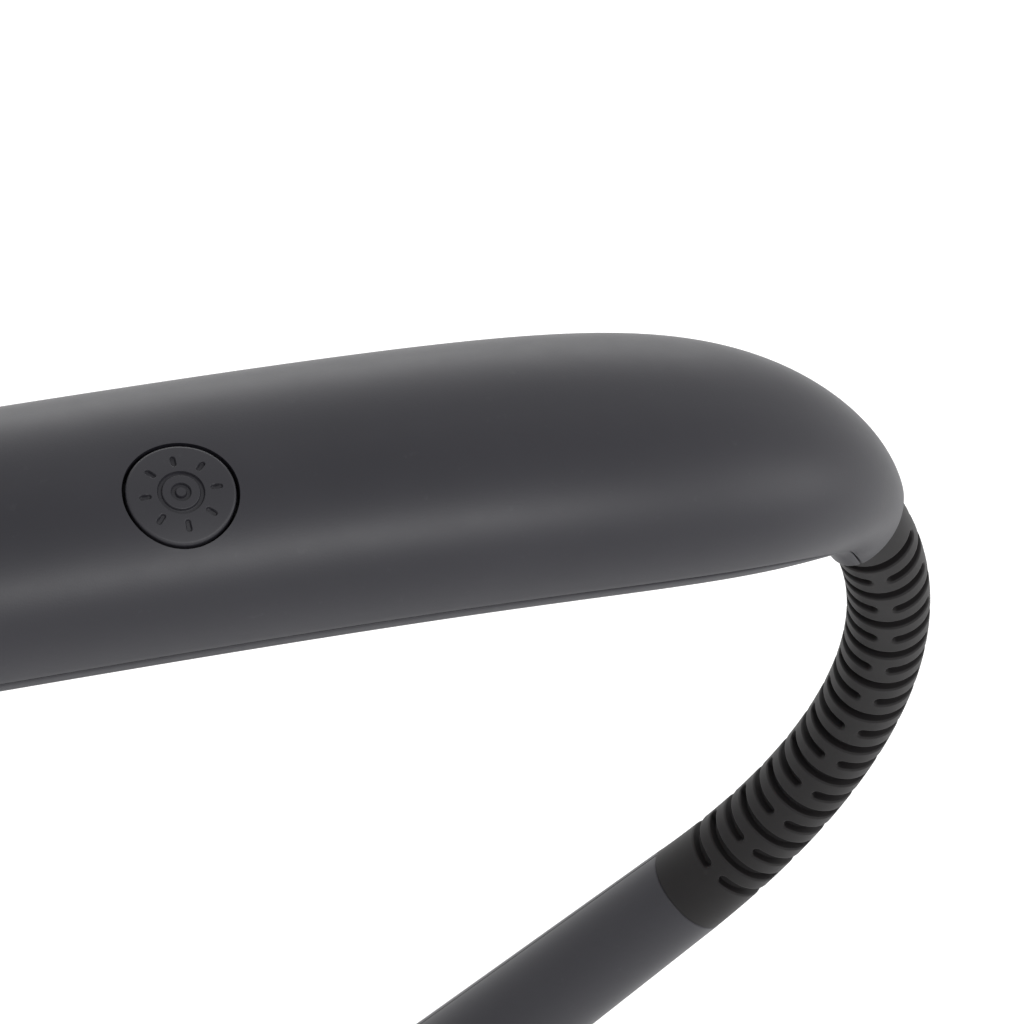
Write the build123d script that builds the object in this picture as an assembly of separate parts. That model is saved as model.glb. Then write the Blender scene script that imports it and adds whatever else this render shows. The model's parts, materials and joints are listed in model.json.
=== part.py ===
"""Clip-on reading lamp: a light-bar head on a slotted flexible neck, an arm and a sprung clip.

Lengths are in millimetres and angles in degrees. +Z is up, the lamp stands on the flat underside
of its lower jaw, and its centre line lies in the plane Y = 0. Distance along that centre line is
called s: it is 0 at the mouth of the head, grows down the neck and the arm to the clip, and is
negative inside the head.
"""

from build123d import *
from functools import cache
import math
import os

# ---------------------------------------------------------------- centre line
HEAD_LENGTH = 150.0
HEAD_TILT = 4.0          # slope of the far end of the head
NOSE_BEND = 63.0         # extra slope at the mouth
NOSE_REACH = 14.5        # distance over which the nose bends down
NECK_RATE = 1.12         # bend per mm where the neck leaves the head
NECK_EASE = 0.0030       # how fast that bend fades, per mm squared
NECK_LENGTH = 76.0
ARM_LENGTH = 80.0
ARM_SLOPE = 135.0
ARM_FOOT = (-4.0, 21.0)  # X and Z of the arm's lower end

# ---------------------------------------------------------------- head
MOUTH_RADIUS = 5.1
HEAD_HALF_WIDTH = 15.3
DOME_HEIGHT = 12.1
BELLY_DEPTH = 4.0
MOUTH_CUT_SLOPE = 38.0   # slope of the normal of the mouth's plane
WALL = 1.6
SEAM_GAP = 0.12
ROUND_FROM = 128.0       # where the far end starts to round off
BATTERY = (30.0, 16.0, 5.0)
BATTERY_SPOTS = (51.0, 114.0)
PORT_RISE = 2.6          # how far the charging socket sits above the seam
LED_COUNT = 14
LED_PITCH = 5.8
SCREW_SPOTS = ((27.0, 0.0), (137.0, 6.0), (137.0, -6.0))  # from the mouth, and across
WINDOW = (92.0, 19.0)    # length and width of the light window
WINDOW_AT = 80.0
PIPE_AT = 126.0          # the charge light
PIPE_RADIUS = 1.0

# ---------------------------------------------------------------- button
BUTTON_AT = 83.0         # distance from the mouth, along the head
BUTTON_SIDE = -4.2
BUTTON_RADIUS = 5.5
BUTTON_GAP = 0.35
SWITCH_TOP = -5.0        # top of the switch's plunger, under the face of the cap
SWITCH_HEIGHT = 2.3

# ---------------------------------------------------------------- neck
SLEEVE_RADIUS = 4.58
SLEEVE_FOOT_RADIUS = 5.58
SLEEVE_FLARE = 2.6       # how late along the neck the sleeve widens
SLEEVE_BORE = 2.4
SLOT = 1.25
FIRST_SLOT = 3.6
SLOT_PITCH = 3.1
SLOT_ROWS = 22
SIDE_SPLITS = (4, 8, 12, 16)
BRIDGE_WIDTH = 1.7
CORE_RADIUS = 2.0
CORE_GAP = 0.5
FERRULE_RADIUS = 2.4
TWIST_HEAD = 12.0        # turn of the slot pattern about the neck's axis, at the head
TWIST_ARM = 55.0

# ---------------------------------------------------------------- arm
ARM_TOP_RADIUS = 5.6
ARM_FOOT_RADIUS = 7.6
ARM_WALL = 1.5
ARM_SEAM_TURN = 51.0
ARM_SCREW_SPOTS = (24.0, 62.0)  # below the arm's top

# ---------------------------------------------------------------- clip
CLIP_FRONT = -33.0
CLIP_REAR = 33.0
CLIP_HALF_WIDTH = 15.5
BASE_THICK = 5.0
PIN_AT = (16.0, 10.5)
PIN_RADIUS = 1.5
EAR_IN, EAR_OUT = 8.2, 11.4
CHEEK_IN, CHEEK_OUT = 11.8, 15.5
PAD_LENGTH, PAD_THICK = 14.0, 2.6
COIL_RADIUS, WIRE_RADIUS, COIL_TURNS = 3.0, 0.55, 6


BOTTOM = (Align.CENTER, Align.CENTER, Align.MIN)


# ================================================================ helpers
def slope(s):
    """Downward angle of the centre line at s."""
    if s < 0:
        return HEAD_TILT + NOSE_BEND / (1 + (s / NOSE_REACH) ** 2)
    if s < NECK_LENGTH:
        return HEAD_TILT + NOSE_BEND + NECK_RATE * s - NECK_EASE * s * s
    return ARM_SLOPE


def walk(s, start=(0.0, 0.0)):
    """X and Z of the centre line at s, when it is at start for s = 0."""
    steps = max(1, math.ceil(abs(s) / 0.5))
    x, z = start
    for k in range(steps):
        a = math.radians(slope((k + 0.5) * s / steps))
        x += math.cos(a) * s / steps
        z -= math.sin(a) * s / steps
    return x, z


ARM_END = NECK_LENGTH + ARM_LENGTH
MOUTH = tuple(foot - way for foot, way in zip(ARM_FOOT, walk(ARM_END)))


def station(x, z, down):
    """A plane square to the line at that slope: its x is world Y, its y is the outer side."""
    a = math.radians(down)
    return Plane(origin=(x, 0, z), x_dir=(0, 1, 0), z_dir=(math.cos(a), 0, -math.sin(a)))


def frame(s):
    return station(*walk(s, MOUTH), slope(s))


def disc(plane, radius):
    return plane * Circle(radius)


def rod(plane, radius, start, end):
    """A cylinder along the plane's normal, between two heights over the plane."""
    return plane * Pos(0, 0, start) * Cylinder(radius, end - start, align=BOTTOM)


def block(plane, size, x=0.0, y=0.0, z=0.0):
    """A box centred on a point given in the plane's own axes."""
    return plane * Pos(x, y, z) * Box(*size)


def save(name, shape):
    shape.label = name
    export_step(shape, f"parts/{name}.step")


# ================================================================ head
def eased(start, end, u, reach, power):
    return start + (end - start) * (1 - math.exp(-((max(u, 0) / reach) ** power)))


def head_section(s, inset=0.0):
    """A slice of the housing: a tall round top on a shallow flat belly, a circle at the mouth."""
    u = -s
    length = HEAD_LENGTH - inset
    width = eased(MOUTH_RADIUS, HEAD_HALF_WIDTH, u, 16, 1.5)
    height = eased(MOUTH_RADIUS, DOME_HEIGHT, u, 19, 1.2)
    depth = eased(MOUTH_RADIUS, BELLY_DEPTH, u, 8, 1.0)
    top_power = eased(2.0, 2.3, u, 16, 1.5)
    belly_power = eased(2.0, 3.0, u, 16, 1.5)
    past = max(0.0, (u - ROUND_FROM) / (length - ROUND_FROM))
    close = math.sqrt(max(0.0, 1 - past * past))
    points = []
    count = 28
    for k in range(count):
        t = 2 * math.pi * k / count
        power = top_power if math.sin(t) >= 0 else belly_power
        reach = height if math.sin(t) >= 0 else depth
        wide = math.copysign(abs(math.cos(t)) ** (2 / power), math.cos(t))
        tall = math.copysign(abs(math.sin(t)) ** (2 / power), math.sin(t))
        points.append((wide * (width - inset) * close, tall * (reach - inset) * close))
    return frame(s) * make_face(Spline(points, periodic=True))


@cache
def head_form(inset=0.0):
    """The housing as a solid, drawn in by inset all round."""
    length = HEAD_LENGTH - inset
    stations = [-6, 0, 4, 8, 12, 17, 23, 30, 40, 55, 75, 95, 112]
    for turn in (0, 25, 45, 60, 72, 81, 86.5):
        stations.append(ROUND_FROM + (length - ROUND_FROM) * math.sin(math.radians(turn)))
    return loft([head_section(-u, inset) for u in stations])


def below_seam(shift):
    """Everything below the seam of the two head shells, moved up by shift."""
    stations = (-9, -4, 0, 5, 10, 16, 23, 32, 45, 65, 90, 120, HEAD_LENGTH + 8)
    edge = []
    for u in stations:
        drop = 2.0 * math.exp(-((u / 12) ** 2)) if u > 0 else 2.0
        edge.append(frame(-u).from_local_coords((0, shift - drop, 0)))
    top = Spline(edge)
    low = MOUTH[1] - 40
    rest = Polyline(edge[-1], (edge[-1].X, 0, low), (edge[0].X, 0, low), edge[0])
    face = make_face([*top.edges(), *rest.edges()])
    return extrude(face, 25, dir=(0, 1, 0), both=True)


def button_frame():
    """Where the button's cap meets the top shell; z points out of the shell."""
    at = frame(-BUTTON_AT)
    side = BUTTON_SIDE / HEAD_HALF_WIDTH
    height = DOME_HEIGHT * (1 - abs(side) ** 2.3) ** (1 / 2.3)
    lean = math.atan2(-BUTTON_SIDE * 0.55, HEAD_HALF_WIDTH)
    out = (at.y_dir * math.cos(lean) - at.x_dir * math.sin(lean)).normalized()
    origin = at.from_local_coords((BUTTON_SIDE, height, 0))
    return Plane(origin=origin, x_dir=at.z_dir, z_dir=out)


def head_plane(u, up=0.0):
    """A plane lying along the head: x runs to the mouth, z is the outer side."""
    at = frame(-u)
    return Plane(origin=at.from_local_coords((0, up, 0)), x_dir=at.z_dir, z_dir=at.y_dir)


def window(grow, low, high):
    """The light window's outline as a solid through the belly."""
    length, width = WINDOW
    outline = RectangleRounded(length + 2 * grow, width + 2 * grow, 5 + grow)
    return extrude(head_plane(WINDOW_AT, low) * outline, high - low)


def build_head():
    outer = head_form()
    inner = head_form(WALL)
    tube = loft([disc(frame(s), SLEEVE_RADIUS + 0.06) for s in (9, 5, 0, -5.5)])
    mouth = station(*MOUTH, MOUTH_CUT_SLOPE)
    beyond = mouth * Pos(0, 0, 15) * Box(60, 60, 30)
    cavity = inner - block(frame(-3.0), (40, 40, 12))
    grip = loft([disc(frame(s), CORE_RADIUS + 0.03) for s in (-4, -8, -13)])
    port = block(head_plane(HEAD_LENGTH - 4, PORT_RISE), (14, 9.4, 3.7))
    shell = outer - cavity - tube - grip - beyond - port
    top = shell - below_seam(SEAM_GAP / 2)
    belly = (shell & below_seam(-SEAM_GAP / 2)) - window(0, -9, 3)
    skin = head_form(0.3)
    for u, side in SCREW_SPOTS:
        at = Pos(0, side, 0) * head_plane(u)
        top += (rod(at, 2.6, SEAM_GAP, 16) & skin) - rod(at, 0.95, -1, 3.5)
        belly += rod(at, 3.0, -5.5, -SEAM_GAP) & skin
        belly -= rod(at, 0.95, -6, 1)
        belly -= rod(at, 2.1, -8, -2.4)
    at = button_frame()
    top -= rod(at, BUTTON_RADIUS + BUTTON_GAP, -6, 6)
    light = head_plane(PIPE_AT)
    top -= rod(light, PIPE_RADIUS + 0.05, 5, 20)
    save("head_top_shell", top)
    save("head_bottom_shell", belly)

    panel = head_form(0.5) - head_form(2.1)
    panel = (panel & window(-0.15, -9, -1.5)) & below_seam(-1.0)
    save("light_diffuser", panel)

    board = head_plane(WINDOW_AT, -0.4)
    save("led_board", block(board, (LED_COUNT * LED_PITCH + 4, 13, 1.0), z=0.5))
    chips = []
    for k in range(LED_COUNT):
        along = (k - (LED_COUNT - 1) / 2) * LED_PITCH
        chips.append(block(board, (2.8, 3.5, 0.7), x=along, z=-0.35))
    save("led_chips", Compound(children=chips))

    cells = [block(head_plane(u, 5.2), BATTERY) for u in BATTERY_SPOTS]
    save("battery_cells", Compound(children=cells))
    circuit = button_frame().offset(SWITCH_TOP - SWITCH_HEIGHT)
    save("control_board", block(circuit, (28, 18, 1.2), y=4, z=-0.6))
    save("board_parts", Compound(children=[
        block(circuit, (5, 6, 1.6), x=-9, y=8, z=0.8),
        block(circuit, (3, 4, 1.2), x=9, y=9, z=0.6),
        block(circuit, (4, 4, 2.0), x=9, y=0, z=1.0),
    ]))

    port_at = head_plane(HEAD_LENGTH - 6.2, PORT_RISE)
    sleeve = Box(7.4, 8.9, 3.2) - Pos(-1.0, 0, 0) * Box(7.4, 8.3, 2.6)
    tongue = Pos(0.4, 0, 0) * Box(5.4, 6.6, 0.7)
    save("usb_port", port_at * (sleeve + tongue))
    pipe = rod(light, PIPE_RADIUS, 8.6, 20) & head_form(0.1)
    save("charge_light_pipe", pipe)

    screws = []
    for u, side in SCREW_SPOTS:
        at = Pos(0, side, 0) * head_plane(u)
        screw = rod(at, 0.9, -2.4, 3.0) + rod(at, 1.9, -3.5, -2.4)
        screw -= block(at, (2.6, 0.5, 0.8), z=-3.5)
        screw -= block(at, (0.5, 2.6, 0.8), z=-3.5)
        screws.append(screw)
    save("head_screws", Compound(children=screws))


def build_button():
    at = button_frame()
    cap = rod(at, BUTTON_RADIUS, -3.4, 0.4) & head_form(-0.05)
    flange = rod(at, BUTTON_RADIUS + 0.7, -3.9, -3.4)
    stem = rod(at, 1.6, SWITCH_TOP, -3.9)
    save("brightness_button", cap + flange + stem)
    save("switch_plunger", rod(at, 1.2, SWITCH_TOP - 1.0, SWITCH_TOP))
    case = block(at, (5.2, 5.2, SWITCH_HEIGHT - 0.5), z=SWITCH_TOP - (SWITCH_HEIGHT + 0.5) / 2)
    case -= rod(at, 1.25, SWITCH_TOP - 1.5, SWITCH_TOP)
    save("tact_switch", case)


# ================================================================ neck
def slot_at(row):
    return FIRST_SLOT + SLOT_PITCH * row


def sleeve_radius(s):
    rise = (s / NECK_LENGTH) ** SLEEVE_FLARE
    return SLEEVE_RADIUS + (SLEEVE_FOOT_RADIUS - SLEEVE_RADIUS) * rise


def pattern_turn(s):
    return TWIST_HEAD + (TWIST_ARM - TWIST_HEAD) * s / NECK_LENGTH


def chord(start, end):
    """A straight frame from one point of the centre line to the next, and its length."""
    a = walk(start, MOUTH)
    b = walk(end, MOUTH)
    down = math.degrees(math.atan2(a[1] - b[1], b[0] - a[0]))
    return station(*a, down), math.dist(a, b)


def ring(plane, start, end, s):
    """A slice of the sleeve between two heights over the plane; s sets its radius."""
    outside = Cone(sleeve_radius(s), sleeve_radius(s + end - start), end - start, align=BOTTOM)
    return plane * Pos(0, 0, start) * outside - rod(plane, SLEEVE_BORE, start - 1, end + 1)


def bridges(plane, middle, turn, s):
    """The two webs that carry the sleeve across a slot."""
    outer = sleeve_radius(s) - 0.1
    inner = SLEEVE_BORE + 0.1
    web = Box(outer - inner, BRIDGE_WIDTH, SLOT + 0.4)
    out = Pos((outer + inner) / 2, 0, 0)
    return [plane * Pos(0, 0, middle) * Rot(0, 0, turn + side) * out * web for side in (0, 180)]


def core(plane, start, end):
    return rod(plane, CORE_RADIUS, start, end)


def build_neck():
    """One piece of sleeve and one of core for each stretch between two splits, arm end first."""
    half = SLOT / 2
    pieces = []
    hinge_rows = range(1, SLOT_ROWS, 2)
    for row in reversed(hinge_rows[:-1]):
        near, far = slot_at(row), slot_at(row + 2)
        plane, length = chord(near, far)
        middle = length / 2
        head_half = ring(plane, half, middle - half, near + half)
        arm_half = ring(plane, middle + half, length - half, near + middle + half)
        if row + 1 in SIDE_SPLITS:
            pieces.append((arm_half, core(plane, middle + CORE_GAP / 2, length - CORE_GAP / 2)))
            pieces.append((head_half, core(plane, CORE_GAP / 2, middle - CORE_GAP / 2)))
        else:
            turn = 90 + pattern_turn(near + middle)
            whole = head_half + arm_half
            for web in bridges(plane, middle, turn, near + middle):
                whole += web
            pieces.append((whole, core(plane, CORE_GAP / 2, length - CORE_GAP / 2)))
    for k, (sleeve, link) in enumerate(pieces, 1):
        save(f"sleeve_segment_{k:02d}", sleeve)
        save(f"core_link_{k:02d}", link)

    first, last = slot_at(0), slot_at(SLOT_ROWS - 1)
    plane, length = chord(first, slot_at(1))
    collar = loft([disc(frame(s), SLEEVE_RADIUS) for s in (-5, -2.5, 0, 2)])
    collar += loft([disc(frame(2), SLEEVE_RADIUS), disc(plane.offset(-half), SLEEVE_RADIUS)])
    collar -= loft([disc(frame(s), SLEEVE_BORE) for s in (-6, -2.5, 0, 2, first + 1)])
    collar += ring(plane, half, length - half, first)
    for web in bridges(plane, 0, 90 + pattern_turn(first), first):
        collar += web
    save("sleeve_collar_head", collar)
    stub = loft([disc(frame(s), CORE_RADIUS) for s in (-13, -8, -4, 0, 2)])
    stub += loft([disc(frame(2), CORE_RADIUS), disc(plane.offset(length - CORE_GAP / 2), CORE_RADIUS)])
    save("core_end_head", stub)
    ferrule = loft([disc(frame(s), FERRULE_RADIUS) for s in (-10.3, -11.4, -12.6)])
    ferrule -= loft([disc(frame(s), CORE_RADIUS + 0.12) for s in (-9.5, -11.4, -13)])
    save("head_ferrule", ferrule)

    plane, length = chord(last, NECK_LENGTH)
    end = frame(NECK_LENGTH)
    top = plane.offset(half)
    collar = loft([disc(top, sleeve_radius(last + half)), disc(end, SLEEVE_FOOT_RADIUS)])
    collar -= loft([disc(plane.offset(0), SLEEVE_BORE), disc(end.offset(1), SLEEVE_BORE)])
    save("sleeve_collar_arm", collar)
    link = loft([disc(plane.offset(CORE_GAP / 2), CORE_RADIUS), disc(end, CORE_RADIUS)])
    save("core_end_arm", link + rod(end, CORE_RADIUS, 0, 14))


# ================================================================ arm
def arm_taper(wall, start, end):
    """The arm's form, drawn in by wall, between two distances below its top."""
    rate = (ARM_FOOT_RADIUS - ARM_TOP_RADIUS) / ARM_LENGTH
    radii = [ARM_TOP_RADIUS + rate * d - wall for d in (start, end)]
    return frame(NECK_LENGTH) * Pos(0, 0, start) * Cone(*radii, end - start, align=BOTTOM)


def arm_seam(down=0.0):
    """A plane square to the arm, with x along the seam of its shells and y into the rear one."""
    at = frame(NECK_LENGTH).offset(down)
    turn = math.radians(ARM_SEAM_TURN)
    x_dir = at.x_dir * math.cos(turn) - at.y_dir * math.sin(turn)
    return Plane(origin=at.origin, x_dir=x_dir, z_dir=at.z_dir)


def build_arm():
    top = frame(NECK_LENGTH)
    shell = arm_taper(0, 0.05, ARM_LENGTH) - arm_taper(ARM_WALL, 3.0, ARM_LENGTH + 1)
    shell -= rod(top, 2.75, -1, 4)
    posts = []
    for down in ARM_SCREW_SPOTS:
        seam = arm_seam(down)
        posts.append(Plane(origin=seam.origin, x_dir=seam.x_dir, z_dir=seam.y_dir))
    screws = []
    for post in posts:
        shell += rod(post, 2.4, -8, 8) & arm_taper(0.4, 0.05, ARM_LENGTH)
    for post in posts:
        shell -= rod(post, 0.85, -2.0, 8.5)
        shell -= rod(post, 1.85, 3.2, 9)
        screw = rod(post, 0.8, -1.8, 3.2) + rod(post, 1.7, 3.2, 4.3)
        screws.append(screw - block(post, (2.2, 0.5, 0.6), z=4.3))
    seam = arm_seam(ARM_LENGTH)
    half = (60, 40, 2 * ARM_LENGTH + 60)
    save("arm_front_shell", shell & block(seam, half, y=-20 - SEAM_GAP / 4))
    save("arm_rear_shell", shell & block(seam, half, y=20 + SEAM_GAP / 4))
    save("arm_screws", Compound(children=screws))
    ferrule = rod(top, 2.7, 0.5, 15) - rod(top, CORE_RADIUS + 0.02, -1, 15.5)
    save("arm_ferrule", ferrule)


# ================================================================ clip
def side_plate(points, half_width, radius=0.0):
    """An outline in the XZ plane, with its corners rounded, as a plate of that half width."""
    outline = make_face(Polyline(*points, close=True))
    if radius:
        outline = fillet(outline.vertices(), radius)
    return extrude(Plane.XZ * outline, half_width, both=True)


def between(x_low, x_high, y_low, y_high, z_low, z_high):
    size = (x_high - x_low, y_high - y_low, z_high - z_low)
    return Pos((x_low + x_high) / 2, (y_low + y_high) / 2, (z_low + z_high) / 2) * Box(*size)


def bar(radius, y_low, y_high, at=PIN_AT):
    """A cylinder along Y, on the hinge pin's line unless told otherwise."""
    start = Plane(origin=(at[0], y_low, at[1]), x_dir=(1, 0, 0), z_dir=(0, 1, 0))
    return rod(start, radius, 0, y_high - y_low)


PAD_FRONT = CLIP_FRONT + 2.0
GRIP_LINE = BASE_THICK + PAD_THICK        # top of the lower pad
JAW_UNDER = GRIP_LINE + 0.6 + PAD_THICK   # underside of the upper jaw at its front
JAW_ARCH = 16.5                           # underside of the upper jaw over the pin
LEVER_TIP = (34.0, 26.5)
LEVER_TOP = ((21.0, JAW_ARCH + 3.2), (LEVER_TIP[0] - 1.6, LEVER_TIP[1] + 2.6))
RIB_COUNT, RIB_RADIUS = 5, 0.8
CORNER = 7.0              # plan corners of both jaws


def jaw_plan(front, rear, height):
    """The rounded outline of a jaw as seen from above, as a solid."""
    sheet = Rectangle(rear - front, 2 * CLIP_HALF_WIDTH)
    sheet = fillet(sheet.vertices(), CORNER)
    return Pos((rear + front) / 2, 0, 0) * extrude(sheet, height)


def build_lower_jaw():
    plate = jaw_plan(CLIP_FRONT, CLIP_REAR, BASE_THICK)
    jaw = fillet(plate.faces().sort_by(Axis.Z)[-1].edges(), 1.2)
    x, z = PIN_AT
    for low in (EAR_IN, -EAR_OUT):
        high = low + EAR_OUT - EAR_IN
        ear = bar(4.2, low, high) + between(x - 4.2, x + 4.2, low, high, BASE_THICK - 0.5, z)
        jaw += ear
    jaw -= bar(PIN_RADIUS + 0.02, -20, 20)
    save("clip_lower_jaw", jaw)
    pad = between(PAD_FRONT, PAD_FRONT + PAD_LENGTH, -12.5, 12.5, BASE_THICK, GRIP_LINE)
    save("lower_pad", fillet(pad.edges().filter_by(Axis.Z), 3.0))


def build_upper_jaw():
    x, z = PIN_AT
    lips = [(CLIP_FRONT, JAW_UNDER), (-13, JAW_UNDER), (-4, JAW_ARCH - 1.5), (4, JAW_ARCH)]
    rear = (22, JAW_ARCH)
    over = [(-12, JAW_ARCH + 2.4), (CLIP_FRONT + 1.5, JAW_UNDER + 2.6)]
    lever = [LEVER_TIP, LEVER_TOP[1], LEVER_TOP[0]]
    jaw = side_plate([*lips, rear, *lever, *over], CLIP_HALF_WIDTH, 1.1)
    for k in range(RIB_COUNT):
        share = (k + 1.6) / (RIB_COUNT + 1.4)
        spot = [a + (b - a) * share for a, b in zip(*LEVER_TOP)]
        jaw += bar(RIB_RADIUS, -11, 11, (spot[0] + 0.2, spot[1] - 0.25))
    jaw &= jaw_plan(CLIP_FRONT, LEVER_TIP[0], 60)
    cheek = [(x - 9, JAW_ARCH + 1), (x - 3.2, z - 3.0), (x + 3.2, z - 3.0), (x + 9, JAW_ARCH + 1)]
    for low in (CHEEK_IN, -CHEEK_OUT):
        high = low + CHEEK_OUT - CHEEK_IN
        flank = between(x - 20, x + 20, low, high, 0, 40) & side_plate(cheek, 20)
        jaw += flank + bar(4.4, low, high)
    foot = frame(ARM_END)
    socket = rod(foot, ARM_FOOT_RADIUS + 1.4, -7, 14)
    room = side_plate([*lips, rear, (30, 60), (-45, 60), (-45, JAW_UNDER)], 20)
    jaw += socket & room
    jaw -= rod(foot, ARM_FOOT_RADIUS + 0.12, -9, 0.1)
    jaw -= rod(foot, 1.3, -5, 20)
    jaw -= rod(foot, 2.9, 4.0, 20)
    jaw -= bar(PIN_RADIUS + 0.05, -20, 20)
    save("clip_upper_jaw", jaw)
    pad = between(PAD_FRONT, PAD_FRONT + PAD_LENGTH, -12.5, 12.5, GRIP_LINE + 0.6, JAW_UNDER)
    save("upper_pad", fillet(pad.edges().filter_by(Axis.Z), 3.0))
    insert = rod(foot, ARM_FOOT_RADIUS - ARM_WALL - 0.35, -12, 0) - rod(foot, 1.1, -10.5, 1)
    save("arm_foot_insert", insert)
    save("clip_screw", rod(foot, 1.05, -10, 4.0) + rod(foot, 2.7, 4.0, 5.8))


def build_hinge():
    pin = bar(PIN_RADIUS, -CHEEK_OUT - 0.9, CHEEK_OUT)
    pin += bar(2.6, -CHEEK_OUT - 1.2, -CHEEK_OUT - 0.1)
    pin += bar(PIN_RADIUS, CHEEK_OUT, CHEEK_OUT + 0.9)
    save("hinge_pin", pin)
    clip = bar(2.9, CHEEK_OUT + 0.15, CHEEK_OUT + 0.75) - bar(PIN_RADIUS + 0.01, 0, 20)
    slot = between(PIN_AT[0] - 0.9, PIN_AT[0] + 0.9, 0, 20, PIN_AT[1] - 5, PIN_AT[1])
    save("pin_clip", clip - slot)
    pitch = 2 * WIRE_RADIUS + 0.12
    x, z = PIN_AT
    line = Helix(pitch, COIL_TURNS * pitch, COIL_RADIUS)
    wire = sweep(Plane(line @ 0, z_dir=line % 0) * Circle(WIRE_RADIUS), path=line)
    coil = Plane(origin=(x, -COIL_TURNS * pitch / 2, z), x_dir=(0, 0, -1), z_dir=(0, 1, 0)) * wire
    save("torsion_spring", coil)


if __name__ == "__main__":
    os.makedirs("parts", exist_ok=True)
    build_head()
    build_button()
    build_neck()
    build_arm()
    build_lower_jaw()
    build_upper_jaw()
    build_hinge()
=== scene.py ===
"""Looks of the clip-on reading lamp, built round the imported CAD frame.

Lengths below are in millimetres unless a name says otherwise; meshes are scaled to metres when they
are made. The lamp's centre line lies in the plane Y = 0. Distance along it is called s: 0 at the
head's mouth, growing down the neck to the clip, and negative inside the head, where u = -s.
"""
import bpy
import bmesh
import json
import math
import numpy as np
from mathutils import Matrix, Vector

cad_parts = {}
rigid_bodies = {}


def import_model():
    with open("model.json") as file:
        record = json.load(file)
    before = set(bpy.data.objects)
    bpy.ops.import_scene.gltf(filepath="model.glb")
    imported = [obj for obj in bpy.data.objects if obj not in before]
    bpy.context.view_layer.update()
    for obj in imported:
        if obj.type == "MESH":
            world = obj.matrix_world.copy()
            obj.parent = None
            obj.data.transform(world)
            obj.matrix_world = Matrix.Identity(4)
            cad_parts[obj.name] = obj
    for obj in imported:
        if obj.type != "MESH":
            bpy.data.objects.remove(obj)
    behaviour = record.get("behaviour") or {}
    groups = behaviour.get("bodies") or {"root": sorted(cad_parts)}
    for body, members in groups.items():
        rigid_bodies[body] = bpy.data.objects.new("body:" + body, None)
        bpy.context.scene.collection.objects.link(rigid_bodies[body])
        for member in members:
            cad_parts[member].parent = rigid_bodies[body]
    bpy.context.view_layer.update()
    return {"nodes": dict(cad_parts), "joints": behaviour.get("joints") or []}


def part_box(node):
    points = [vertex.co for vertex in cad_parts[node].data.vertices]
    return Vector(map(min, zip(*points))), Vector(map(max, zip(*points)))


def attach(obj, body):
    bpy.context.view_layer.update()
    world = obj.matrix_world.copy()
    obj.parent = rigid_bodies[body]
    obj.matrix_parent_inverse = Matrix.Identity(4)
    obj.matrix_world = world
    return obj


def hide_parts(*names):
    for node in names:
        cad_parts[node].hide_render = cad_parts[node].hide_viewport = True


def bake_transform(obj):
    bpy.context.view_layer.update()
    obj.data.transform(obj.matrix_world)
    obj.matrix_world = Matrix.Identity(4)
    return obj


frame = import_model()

MM = 0.001

# ---------------------------------------------------------------- driving dimensions, as in the CAD
HEAD_LENGTH, HEAD_TILT, NOSE_BEND, NOSE_REACH = 150.0, 4.0, 63.0, 14.5
NECK_RATE, NECK_EASE, NECK_LENGTH = 1.12, 0.0030, 76.0
ARM_LENGTH, ARM_SLOPE, ARM_FOOT = 80.0, 135.0, (-4.0, 21.0)
MOUTH_RADIUS, HALF_WIDTH, DOME, BELLY = 5.1, 15.3, 12.1, 4.0
MOUTH_POWER, TOP_POWER, BELLY_POWER = 2.0, 2.3, 3.0
MOUTH_CUT_SLOPE, WALL, SEAM_GAP, ROUND_FROM = 38.0, 1.6, 0.12, 128.0
PORT_AT, PORT_RISE, PORT_OPENING = HEAD_LENGTH - 4.0, 2.6, (14.0, 9.4, 3.7)
PIPE_AT, PIPE_HOLE_RADIUS = 126.0, 1.05
SCREW_SPOTS, SCREW_HOLE_RADIUS = ((27.0, 0.0), (137.0, 6.0), (137.0, -6.0)), 2.1
WINDOW, WINDOW_AT, WINDOW_CORNER = (92.0, 19.0), 80.0, 5.0
BUTTON_AT, BUTTON_SIDE, BUTTON_RADIUS, BUTTON_GAP = 83.0, -4.2, 5.5, 0.35
BUTTON_LEAN, BUTTON_RISE, BUTTON_EDGE = 0.55, 0.05, 0.32
BUTTON_FLANGE, BUTTON_FLANGE_TOP, BUTTON_FLANGE_FOOT = 0.7, -3.4, -3.9
BUTTON_STEM_RADIUS, BUTTON_FOOT = 1.6, -5.0
SLEEVE_RADIUS, SLEEVE_FOOT_RADIUS, SLEEVE_FLARE, SLEEVE_BORE = 4.58, 5.58, 2.6, 2.4
SLOT, FIRST_SLOT, SLOT_PITCH, SLOT_ROWS, BRIDGE_WIDTH = 1.25, 3.6, 3.1, 22, 1.7
TWIST_HEAD, TWIST_ARM = 12.0, 55.0
ARM_TOP_RADIUS, ARM_FOOT_RADIUS, ARM_WALL, ARM_SEAM_TURN = 5.6, 7.6, 1.5, 51.0
ARM_SCREW_SPOTS, ARM_SCREW_HOLE_RADIUS = (24.0, 62.0), 1.85

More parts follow.
